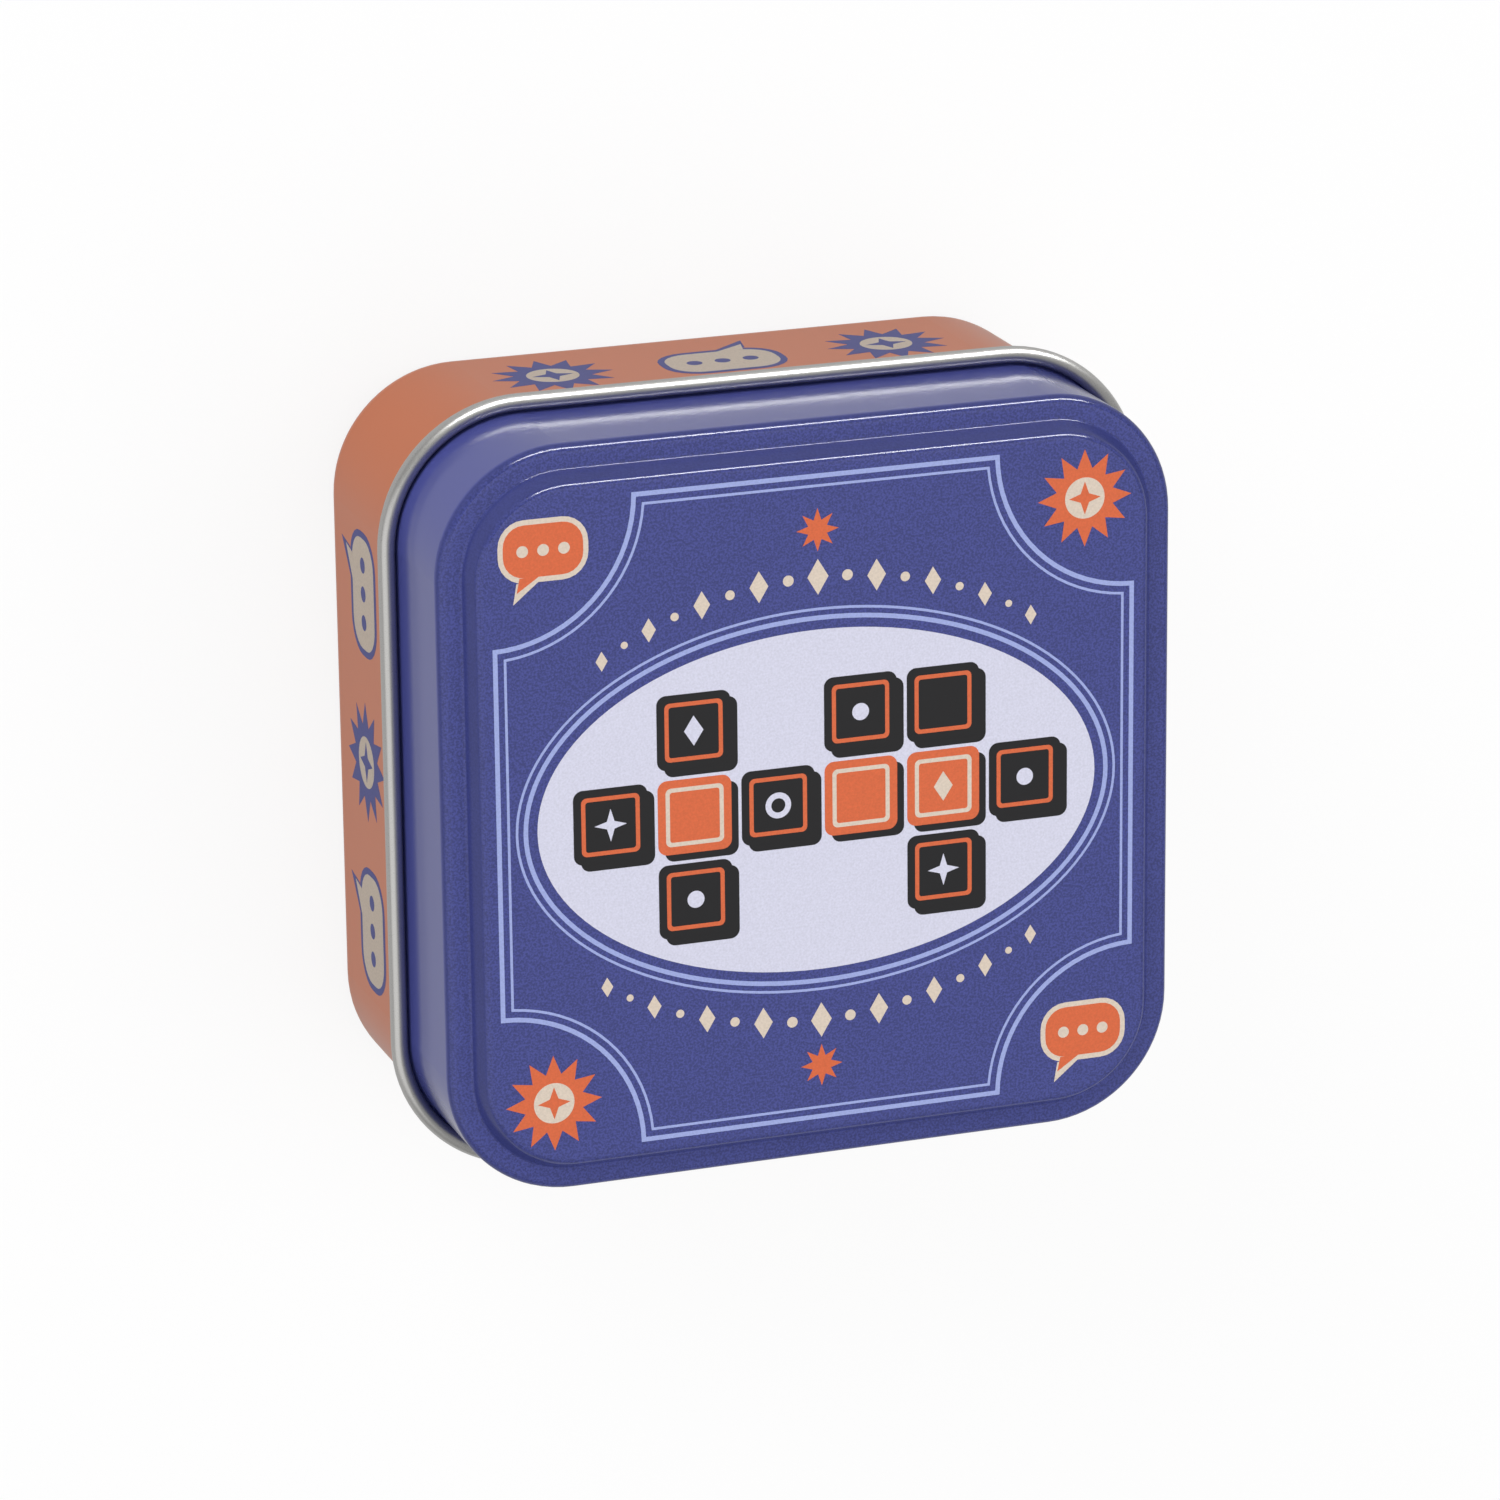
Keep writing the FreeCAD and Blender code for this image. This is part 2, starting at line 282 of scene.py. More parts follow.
@dataclass(frozen=True)
class PrintedSheet:
    """Tinplate printed flat, varnished and then drawn: ink outside, bright tin inside and on rolled edges.

    The varnish is satin where the sheet stays flat, and the fine tooth of the rolled sheet speckles it
    there. Drawing over the die irons the tooth off the edges and walls, which are glossier. Real tooth
    and scuffs are a few hundredths of a millimetre across. That is too fine to show, so both are drawn
    coarser. Walls take a wall ink, which is painted light where it is lighter than the ink. Spans of
    turned_up are upward parts of the sheet's normal, from zero on a wall to one on a top.

    Attributes:
        straight: half the straight part of a wall.
        print_reach: how far out from the corner arcs' centres the print goes.
        print_top: how high up it goes.
        roll_axis: the reach and level of the axis of an edge that is rolled outwards.
        heart: the level of a point inside, which the bare side of the sheet faces.
        lip_margin: how far the hollow side of the roll faces past its axis, unlike the cut lip.
    """

    name: str
    ink: str
    # A copy of the ink for walls: on the lid it is lighter, which is painted light
    painted_light_wall_ink: str
    straight: float
    print_reach: float
    print_top: float
    roll_axis: Pair | None = None
    heart: float = 20.0 * MM
    lip_margin: float = 0.25 * MM
    tooth: float = 0.24 * MM
    tooth_depth: float = 5.0e-6
    tooth_contrast: float = 4.0
    tooth_span: Pair = (0.55, 0.95)
    tooth_on_walls: float = 0.25
    mottle: float = 7.0 * MM
    mottle_shades: Pair = (0.44, 0.56)
    speckle: float = 0.24
    # Upward parts over which the wall ink gives way to the ink; on the lid this wall ink is painted light
    painted_light_span: Pair = (0.10, 0.45)
    gloss_span: Pair = (0.93, 0.99)
    flat_roughness: float = 0.55
    drawn_roughness: float = 0.16
    varnish_ior: float = 1.40
    scuff: float = 0.10 * MM
    scuff_depth: float = 1.6e-6
    tin_dark: str = "#A9A8A6"
    tin_light: str = "#D2D1CE"
    tin_roughness: Pair = (0.26, 0.40)

    def material(self) -> bpy.types.Material:
        """Build the sheet's two-sided finish.

        Returns:
            The material, whose print ends where the sheet turns over or rolls.
        """
        made = new_material(self.name)
        tree = made.node_tree
        place = add_node(tree, "TexCoord").outputs["Object"]
        normal = add_node(tree, "NewGeometry").outputs["Normal"]
        turned_up = add_node(tree, "SeparateXYZ", {0: normal}).outputs["Z"]
        printed = self.printed_side(tree, place, normal)
        tooth = add_node(
            tree, "TexNoise", {"Vector": place, "Scale": 1 / self.tooth, "Detail": 1.0, "Roughness": 0.6}
        ).outputs["Fac"]
        scuff = add_node(
            tree, "TexNoise", {"Vector": place, "Scale": 1 / self.scuff, "Detail": 3.0, "Roughness": 0.7}
        ).outputs["Fac"]
        low, high = self.tooth_span
        flat = add_node(
            tree, "MapRange", {0: turned_up, 1: low, 2: high, 3: self.tooth_on_walls, 4: 1.0}
        ).outputs[0]

        ink = self.ink_colour(tree, place, turned_up, tooth, flat)
        tin = add_node(
            tree, "Mix", {0: scuff, 6: linear(self.tin_dark), 7: linear(self.tin_light)}, data_type="RGBA"
        ).outputs[2]
        colour = add_node(tree, "Mix", {0: printed, 6: tin, 7: ink}, data_type="RGBA").outputs[2]
        bare = add_node(tree, "Math", {0: 1.0, 1: printed}, operation="SUBTRACT").outputs[0]
        low, high = self.tin_roughness
        tin_gloss = add_node(
            tree, "MapRange", {0: scuff, 1: NOISE_LOW, 2: NOISE_HIGH, 3: low, 4: high}
        ).outputs[0]
        low, high = self.gloss_span
        ink_gloss = add_node(
            tree,
            "MapRange",
            {0: turned_up, 1: low, 2: high, 3: self.drawn_roughness, 4: self.flat_roughness},
        ).outputs[0]
        gloss = add_node(tree, "Mix", {0: printed, 2: tin_gloss, 3: ink_gloss}).outputs[0]

        tooth_height = add_node(
            tree, "Math", {0: tooth, 1: self.tooth_depth}, operation="MULTIPLY"
        ).outputs[0]
        tooth_height = add_node(tree, "Math", {0: tooth_height, 1: flat}, operation="MULTIPLY").outputs[0]
        scuff_height = add_node(
            tree, "Math", {0: scuff, 1: self.scuff_depth}, operation="MULTIPLY"
        ).outputs[0]
        height = add_node(tree, "Mix", {0: printed, 2: scuff_height, 3: tooth_height}).outputs[0]
        finish = {"Base Color": colour, "Metallic": bare, "Roughness": gloss, "IOR": self.varnish_ior}
        end_material(tree, height, finish)
        return made

    def ink_colour(self, tree: Tree, place: Socket, turned_up: Socket, tooth: Socket, flat: Socket) -> Socket:
        """Shade the ink: cloudy and speckled on flat stretches, and on walls an even wall ink, painted light
        where it is lighter.

        Args:
            tree: the material's node tree.
            place: the point on the sheet.
            turned_up: how far the sheet faces up there.
            tooth: the sheet's tooth there.
            flat: how much of the tooth is left there.

        Returns:
            A socket with the ink's colour.
        """
        cloud = add_node(
            tree, "TexNoise", {"Vector": place, "Scale": 1 / self.mottle, "Detail": 2.0}
        ).outputs["Fac"]
        low, high = self.mottle_shades
        drift = add_node(
            tree, "MapRange", {0: cloud, 1: NOISE_LOW, 2: NOISE_HIGH, 3: low, 4: high}
        ).outputs[0]
        swing = add_node(tree, "Math", {0: tooth, 1: 0.5}, operation="SUBTRACT").outputs[0]
        swing = add_node(tree, "Math", {0: swing, 1: flat}, operation="MULTIPLY").outputs[0]
        shade = add_node(
            tree, "Math", {0: swing, 1: self.tooth_contrast, 2: drift}, operation="MULTIPLY_ADD"
        ).outputs[0]
        speckled = add_node(
            tree,
            "Mix",
            {0: shade, 6: linear(self.ink, 1 - self.speckle), 7: linear(self.ink, 1 + self.speckle)},
            data_type="RGBA",
        ).outputs[2]
        # Walls turn to the wall ink, which is painted light where it is lighter than the ink
        low, high = self.painted_light_span
        drawn = add_node(tree, "MapRange", {0: turned_up, 1: low, 2: high, 3: 1.0, 4: 0.0}).outputs[0]
        return add_node(
            tree, "Mix", {0: drawn, 6: speckled, 7: linear(self.painted_light_wall_ink)}, data_type="RGBA"
        ).outputs[2]

    def printed_side(self, tree: Tree, place: Socket, normal: Socket) -> Socket:
        """Tell the printed side of the sheet from the bare one.

        Args:
            tree: the material's node tree.
            place: the point on the sheet.
            normal: the way the sheet faces there.

        Returns:
            A socket that is one on the print and zero on bare tin.
        """
        way = corner_way(tree, place, self.straight)
        reach = add_node(tree, "VectorMath", {0: way}, operation="LENGTH").outputs["Value"]
        level = add_node(tree, "SeparateXYZ", {0: place}).outputs["Z"]
        outward = add_node(
            tree, "VectorMath", {0: place, 1: (0, 0, self.heart)}, operation="SUBTRACT"
        ).outputs[0]
        facing = add_node(
            tree, "VectorMath", {0: normal, 1: outward}, operation="DOT_PRODUCT"
        ).outputs["Value"]
        outside = add_node(tree, "Math", {0: facing, 1: 0.0}, operation="GREATER_THAN").outputs[0]
        within = add_node(tree, "Math", {0: reach, 1: self.print_reach}, operation="LESS_THAN").outputs[0]
        below = add_node(tree, "Math", {0: level, 1: self.print_top}, operation="LESS_THAN").outputs[0]
        printed = add_node(tree, "Math", {0: outside, 1: within}, operation="MULTIPLY").outputs[0]
        printed = add_node(tree, "Math", {0: printed, 1: below}, operation="MULTIPLY").outputs[0]
        if self.roll_axis is None:
            return printed
        rolled = self.inside_roll(tree, place, normal, way, reach)
        beyond = add_node(tree, "Math", {0: 1.0, 1: within}, operation="SUBTRACT").outputs[0]
        rolled = add_node(tree, "Math", {0: rolled, 1: beyond}, operation="MULTIPLY").outputs[0]
        return add_node(tree, "Math", {0: printed, 1: rolled}, operation="MAXIMUM").outputs[0]

    def inside_roll(self, tree: Tree, place: Socket, normal: Socket, way: Socket, reach: Socket) -> Socket:
        """Find the hollow side of the rolled edge, where the print runs on out of sight.

        Args:
            tree: the material's node tree.
            place: the point on the sheet.
            normal: the way the sheet faces there.
            way: the folded way out to the point.
            reach: the length of that way.

        Returns:
            A socket that is one where the sheet faces the roll's axis.
        """
        axis_reach, axis_level = self.roll_axis
        level = add_node(tree, "SeparateXYZ", {0: place}).outputs["Z"]
        level = add_node(tree, "Math", {0: level, 1: axis_level}, operation="SUBTRACT").outputs[0]
        share = add_node(tree, "Math", {0: axis_reach, 1: reach}, operation="DIVIDE").outputs[0]
        share = add_node(tree, "Math", {0: 1.0, 1: share}, operation="SUBTRACT").outputs[0]
        out = add_node(tree, "VectorMath", {0: way, "Scale": share}, operation="SCALE").outputs[0]
        rise = add_node(tree, "CombineXYZ", {"Z": level}).outputs[0]
        from_axis = add_node(tree, "VectorMath", {0: out, 1: rise}, operation="ADD").outputs[0]
        quarter = add_node(tree, "VectorMath", {0: place}, operation="SIGN").outputs[0]
        folded = add_node(tree, "VectorMath", {0: normal, 1: quarter}, operation="MULTIPLY").outputs[0]
        facing = add_node(
            tree, "VectorMath", {0: folded, 1: from_axis}, operation="DOT_PRODUCT"
        ).outputs["Value"]
        return add_node(tree, "Math", {0: facing, 1: -self.lip_margin}, operation="LESS_THAN").outputs[0]


@dataclass(frozen=True)
class PrintedInk:
    """A dried film of ink: even colour, a speckle where the stock's tooth shows through, the stock's gloss.

    The tooth is drawn as coarse as on the sheet around it.
    """

    ink: Ink
    stock: Stock
    tooth: float = 0.24 * MM
    tooth_span: Pair = (0.25, 0.75)
    speckle: float = 0.08

    def material(self) -> bpy.types.Material:
        """Build the ink's finish.

        Returns:
            The material, or the one that an earlier film of this ink was given.
        """
        colour_name, colour = self.ink.value
        stock_name, roughness, depth = self.stock.value
        name = f"{colour_name}_ink_on_{stock_name}"
        if name in bpy.data.materials:
            return bpy.data.materials[name]
        made = new_material(name)
        tree = made.node_tree
        place = add_node(tree, "TexCoord").outputs["Object"]
        tooth = add_node(
            tree, "TexNoise", {"Vector": place, "Scale": 1 / self.tooth, "Detail": 1.0, "Roughness": 0.6}
        ).outputs["Fac"]
        low, high = self.tooth_span
        shade = add_node(tree, "MapRange", {0: tooth, 1: low, 2: high}).outputs[0]
        film = add_node(
            tree,
            "Mix",
            {0: shade, 6: linear(colour, 1 - self.speckle), 7: linear(colour, 1 + self.speckle)},
            data_type="RGBA",
        ).outputs[2]
        height = add_node(tree, "Math", {0: tooth, 1: depth}, operation="MULTIPLY").outputs[0]
        end_material(tree, height, {"Base Color": film, "Roughness": roughness})
        return made


@dataclass(frozen=True)
class CardStock:
    """Coated playing-card board: a printed lattice inside a white margin, and a chalky cut edge.

    The clay coating is smooth with a low sheen. The cut edge is dull, and shows the board's fibres,
    which are drawn coarser than real ones so that they show.

    Attributes:
        straight: half the side of the square between the corner arcs' centres.
        margin_start: the reach from those centres at which the white margin starts.
        line_start: the reach at which the line inside the margin starts.
        field_start: the reach at which the lattice ends.
    """

    straight: float
    margin_start: float
    line_start: float
    field_start: float
    name: str = "coated_card_board"
    white: str = "#E9E7E2"
    edge: str = "#D8D3C8"
    field_ink: str = "#4D518C"
    lattice_ink: str = "#8C9AD2"
    lattice_pitch: float = 4.4 * MM
    lattice_line: float = 0.42 * MM
    fibre: float = 0.12 * MM
    fibre_depth: float = 3.0e-6
    edge_roughness: float = 0.85
    face_roughness: float = 0.45

    def material(self) -> bpy.types.Material:
        """Build the finish of a card's back and its cut edge.

        Returns:
            The material.
        """
        made = new_material(self.name)
        tree = made.node_tree
        place = add_node(tree, "TexCoord").outputs["Object"]
        normal = add_node(tree, "NewGeometry").outputs["Normal"]
        turned_up = add_node(tree, "SeparateXYZ", {0: normal}).outputs["Z"]
        back = add_node(tree, "Math", {0: turned_up, 1: 0.5}, operation="GREATER_THAN").outputs[0]
        fibre = add_node(
            tree, "TexNoise", {"Vector": place, "Scale": 1 / self.fibre, "Detail": 2.0}
        ).outputs["Fac"]
        way = corner_way(tree, place, self.straight)
        reach = add_node(tree, "VectorMath", {0: way}, operation="LENGTH").outputs["Value"]
        in_field = add_node(tree, "Math", {0: reach, 1: self.field_start}, operation="LESS_THAN").outputs[0]
        line_middle = (self.margin_start + self.line_start) / 2
        line_half = (self.margin_start - self.line_start) / 2
        on_line = add_node(
            tree, "Math", {0: reach, 1: line_middle, 2: line_half}, operation="COMPARE"
        ).outputs[0]
        lattice = add_node(
            tree,
            "Mix",
            {0: self.lattice(tree, place), 6: linear(self.field_ink), 7: linear(self.lattice_ink)},
            data_type="RGBA",
        ).outputs[2]
        board = add_node(
            tree, "Mix", {0: fibre, 6: linear(self.edge), 7: linear(self.white)}, data_type="RGBA"
        ).outputs[2]
        face = add_node(
            tree, "Mix", {0: on_line, 6: linear(self.white), 7: linear(self.field_ink)}, data_type="RGBA"
        ).outputs[2]
        face = add_node(tree, "Mix", {0: in_field, 6: face, 7: lattice}, data_type="RGBA").outputs[2]
        colour = add_node(tree, "Mix", {0: back, 6: board, 7: face}, data_type="RGBA").outputs[2]
        gloss = add_node(tree, "Mix", {0: back, 2: self.edge_roughness, 3: self.face_roughness}).outputs[0]
        height = add_node(tree, "Math", {0: fibre, 1: self.fibre_depth}, operation="MULTIPLY").outputs[0]
        end_material(tree, height, {"Base Color": colour, "Roughness": gloss})
        return made

    def lattice(self, tree: Tree, place: Socket) -> Socket:
        """Draw a lattice of diamonds.

        Args:
            tree: the material's node tree.
            place: the point on the card.

        Returns:
            A socket that is one on the lattice's lines.
        """
        axes = add_node(tree, "SeparateXYZ", {0: place})
        lines = []
        for operation in ("ADD", "SUBTRACT"):
            slant = add_node(
                tree, "Math", {0: axes.outputs["X"], 1: axes.outputs["Y"]}, operation=operation
            ).outputs[0]
            wave = add_node(
                tree, "Math", {0: slant, 1: self.lattice_pitch}, operation="PINGPONG"
            ).outputs[0]
            line = add_node(tree, "Math", {0: wave, 1: self.lattice_line}, operation="LESS_THAN")
            lines.append(line.outputs[0])
        return add_node(tree, "Math", {0: lines[0], 1: lines[1]}, operation="MAXIMUM").outputs[0]


@dataclass(frozen=True)
class LeafletPaper:
    """Uncoated wood-free paper: matt, slightly warm white, with a faint cloudy look of fibres."""

    name: str = "uncoated_paper"
    light: str = "#EEECE6"
    dark: str = "#E2DFD7"
    fibre: float = 0.3 * MM
    fibre_depth: float = 6.0e-6
    roughness: float = 0.85

    def material(self) -> bpy.types.Material:
        """Build the paper's finish.

        Returns:
            The material.
        """
        made = new_material(self.name)
        tree = made.node_tree
        place = add_node(tree, "TexCoord").outputs["Object"]
        fibre = add_node(
            tree, "TexNoise", {"Vector": place, "Scale": 1 / self.fibre, "Detail": 4.0}
        ).outputs["Fac"]
        colour = add_node(
            tree, "Mix", {0: fibre, 6: linear(self.dark), 7: linear(self.light)}, data_type="RGBA"
        ).outputs[2]
        height = add_node(tree, "Math", {0: fibre, 1: self.fibre_depth}, operation="MULTIPLY").outputs[0]
        end_material(tree, height, {"Base Color": colour, "Roughness": self.roughness})
        return made


# Print


@dataclass(frozen=True)
class Face:
    """A flat face that carries print: its middle, and the directions that are right and up on it."""

    middle: Vector
    right: Vector
    up: Vector

    @classmethod
    def top(cls, level: float) -> "Face":
        """Give a level top at some height, read with +Y up."""
        return cls(Vector((0, 0, level)), Vector((1, 0, 0)), Vector((0, 1, 0)))

    @classmethod
    def wall(cls, quarter: int, half: float, level: float) -> "Face":
        """Give one of four walls.

        Args:
            quarter: the number of quarter turns from the wall that faces +X.
            half: how far out the wall is.
            level: the height of the print's middle on it.

        Returns:
            The wall's face, read with +Z up.
        """
        angle = math.pi / 2 * quarter
        outward = Vector((math.cos(angle), math.sin(angle), 0))
        up = Vector((0, 0, 1))
        return cls(outward * half + up * level, up.cross(outward), up)

    def point(self, x: float, y: float, height: float) -> Vector:
        """Give the point x, y and height millimetres from the face's middle."""
        return self.middle + (self.right * x + self.up * y + self.right.cross(self.up) * height) * MM


@dataclass
class Print:
    """The print on one body, as closed films of ink: one mesh for each ink.

    Attributes:
        body: the body that it rides on.
        slot: the name of a material slot; not used.
        film: the thickness of one film, in millimetres.
        sunk: how deep the films start below the face, in millimetres.
    """

    name: str
    body: str
    slot: str
    stock: Stock = Stock.TINPLATE
    film: float = 0.012
    sunk: float = 0.02
    films: dict[Ink, bmesh.types.BMesh] = field(default_factory=dict)

    def lay(self, face: Face, ink: Ink, level: int, outer: Loop, inner: Loop | None = None) -> None:
        """Lay one area of ink.

        Args:
            face: the face that it lies on.
            ink: its ink.
            level: its place in the stack of inks, one being next to the sheet.
            outer: its outline.
            inner: for a line that closes on itself, its inner outline, with as many points.
        """
        mesh = self.films.setdefault(ink, bmesh.new())
        rings = [outer] if inner is None else [outer, inner]
        top = [[mesh.verts.new(face.point(x, y, self.film * level)) for x, y in ring] for ring in rings]
        low = [[mesh.verts.new(face.point(x, y, -self.sunk)) for x, y in ring] for ring in rings]
        count = len(outer)
        if inner is None:
            mesh.faces.new(top[0])
            mesh.faces.new(low[0][::-1])
        for i in range(count):
            j = (i + 1) % count
            mesh.faces.new((low[0][i], low[0][j], top[0][j], top[0][i]))
            if inner is not None:
                mesh.faces.new((low[1][j], low[1][i], top[1][i], top[1][j]))
                mesh.faces.new((top[0][i], top[0][j], top[1][j], top[1][i]))
                mesh.faces.new((low[0][j], low[0][i], low[1][i], low[1][j]))

    def place(self) -> None:
        """Turn the films into pieces that ride on the print's body."""
        for ink, mesh in self.films.items():
            data = bpy.data.meshes.new(f"{self.name}_{ink.value[0]}")
            mesh.to_mesh(data)
            mesh.free()
            piece = bpy.data.objects.new(data.name, data)
            bpy.context.scene.collection.objects.link(piece)
            data.materials.append(PrintedInk(ink, self.stock).material())
            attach(piece, self.body)
            LOG.info("%s: %d faces", piece.name, len(data.polygons))


class Sign(Enum):
    """Small shapes on the blank game tiles."""

    NONE = "none"
    DOT = "dot"
    RING = "ring"
    DIAMOND = "diamond"
    STAR = "star"


@dataclass(frozen=True)
class GameTile:
    """A printed game tile: a block with a dark side, a coloured inline and at most a small shape on it."""

    size: float = 8.0
    corner: float = 1.0
    drop: float = 0.75
    line_inset: float = 0.85
    line: float = 0.45
    line_corners: Pair = (0.575, 0.2875)
    dot: float = 0.924
    ring: Pair = (1.4, 0.77)
    diamond: Pair = (1.61, 1.05)
    star: Pair = (1.75, 0.5775)

    def draw(self, art: Print, face: Face, spot: Pair, inks: tuple[Ink, Ink, Ink], sign: Sign) -> None:
        """Print the tile.

        Args:
            art: the print that it belongs to.
            face: the face that it lies on.
            spot: its middle.
            inks: the inks of its block, its inline and its sign.
            sign: the shape on it.
        """
        x, y = spot
        block, inline, mark = inks
        square = rounded_box(self.size, self.size, self.corner)
        art.lay(face, Ink.BLACK, 2, placed(square, x + self.drop, y - self.drop))
        art.lay(face, block, 3, placed(square, x, y))
        outer = self.size - 2 * self.line_inset
        inner = outer - 2 * self.line
        outer_corner, inner_corner = self.line_corners
        rim = placed(rounded_box(outer, outer, outer_corner), x, y)
        art.lay(face, inline, 4, rim, placed(rounded_box(inner, inner, inner_corner), x, y))
        if sign is Sign.DOT:
            art.lay(face, mark, 4, placed(oval(self.dot, self.dot, 32), x, y))
        elif sign is Sign.RING:
            outer, inner = self.ring
            art.lay(face, mark, 4, placed(oval(outer, outer, 40), x, y), placed(oval(inner, inner, 40), x, y))
        elif sign is Sign.DIAMOND:
            art.lay(face, mark, 4, placed(burst(2, *self.diamond), x, y))
        elif sign is Sign.STAR:
            art.lay(face, mark, 4, placed(burst(4, *self.star), x, y))


@dataclass(frozen=True)
class TalkMotif:
    """A speech bubble with a rim and three dots.

    Attributes:
        roundness: the corners' radius, as a share of the height.
        inner_tail: the tail's length inside the rim, as a share of its length outside.
        dot_step: the distance between dots, as a share of the width.
    """

    width: float
    height: float
    tail: float
    rim: float
    dot: float
    roundness: float = 0.42
    inner_tail: float = 0.72
    dot_step: float = 0.23

    def draw(self, art: Print, face: Face, spot: Pair, inks: tuple[Ink, Ink]) -> None:
        """Print the bubble.

        Args:
            art: the print that it belongs to.
            face: the face that it lies on.
            spot: its middle.
            inks: the inks of its body, and of its rim and dots.
        """
        body, line = inks
        radius = self.height * self.roundness
        outer = bubble(self.width, self.height, radius, self.tail)
        width, height = self.width - 2 * self.rim, self.height - 2 * self.rim
        inner = bubble(width, height, radius - self.rim, self.tail * self.inner_tail)
        art.lay(face, line, 1, placed(outer, *spot))
        art.lay(face, body, 2, placed(inner, *spot))
        for step in (-1, 0, 1):
            x = spot[0] + step * self.width * self.dot_step
            art.lay(face, line, 3, placed(oval(self.dot, self.dot, 28), x, spot[1]))


@dataclass(frozen=True)
class SparkMotif:
    """A many-rayed star with a round eye.

    Attributes:
        waist: the radius between two rays, as a share of the star's radius.
        pupil: the tips and the waist of the small star in the eye, as shares of the eye's radius.
    """

    radius: float
    eye: float
    tips: int = 12
    waist: float = 0.62
    pupil: Pair = (0.8, 0.3)

    def draw(self, art: Print, face: Face, spot: Pair, inks: tuple[Ink, Ink]) -> None:
        """Print the star.

        Args:
            art: the print that it belongs to.
            face: the face that it lies on.
            spot: its middle.
            inks: the inks of its rays and pupil, and of its eye.
        """
        rays, eye = inks
        tip, waist = self.pupil
        art.lay(face, rays, 1, placed(burst(self.tips, self.radius, self.radius * self.waist), *spot))
        art.lay(face, eye, 2, placed(oval(self.eye, self.eye, 40), *spot))
        art.lay(face, rays, 3, placed(burst(4, self.eye * tip, self.eye * waist), *spot))


@dataclass(frozen=True)
class Garland:
    """A row of diamonds and dots along an arc, smaller towards its ends, with one star outside it.

    Attributes:
        half: the half width and half height of the oval that it follows.
        reach: the number of shapes to each side of its middle.
        step: the angle between two shapes, in degrees.
        taper: how much smaller each shape is than the one before it.
    """

    half: Pair
    reach: int = 8
    step: float = 5.4
    taper: float = 0.055
    dot: float = 0.62
    diamond: Pair = (1.9, 1.15)
    star: Pair = (2.3, 1.1)
    star_gap: float = 5.0

    def draw(self, art: Print, face: Face, side: int) -> None:
        """Print the row.

        Args:
            art: the print that it belongs to.
            face: the face that it lies on.
            side: one for the row above the oval, and minus one for the row below.
        """
        wide, high = self.half
        for place in range(-self.reach, self.reach + 1):
            angle = math.radians(90 + self.step * place)
            size = 1 - self.taper * abs(place)
            shape = oval(self.dot, self.dot, 24) if place % 2 else burst(2, *self.diamond)
            shape = [(size * x, size * y) for x, y in shape]
            art.lay(face, Ink.CREAM, 1, placed(shape, wide * math.cos(angle), side * high * math.sin(angle)))
        art.lay(face, Ink.ORANGE, 1, placed(burst(8, *self.star), 0, side * (high + self.star_gap)))


# Sub-assemblies


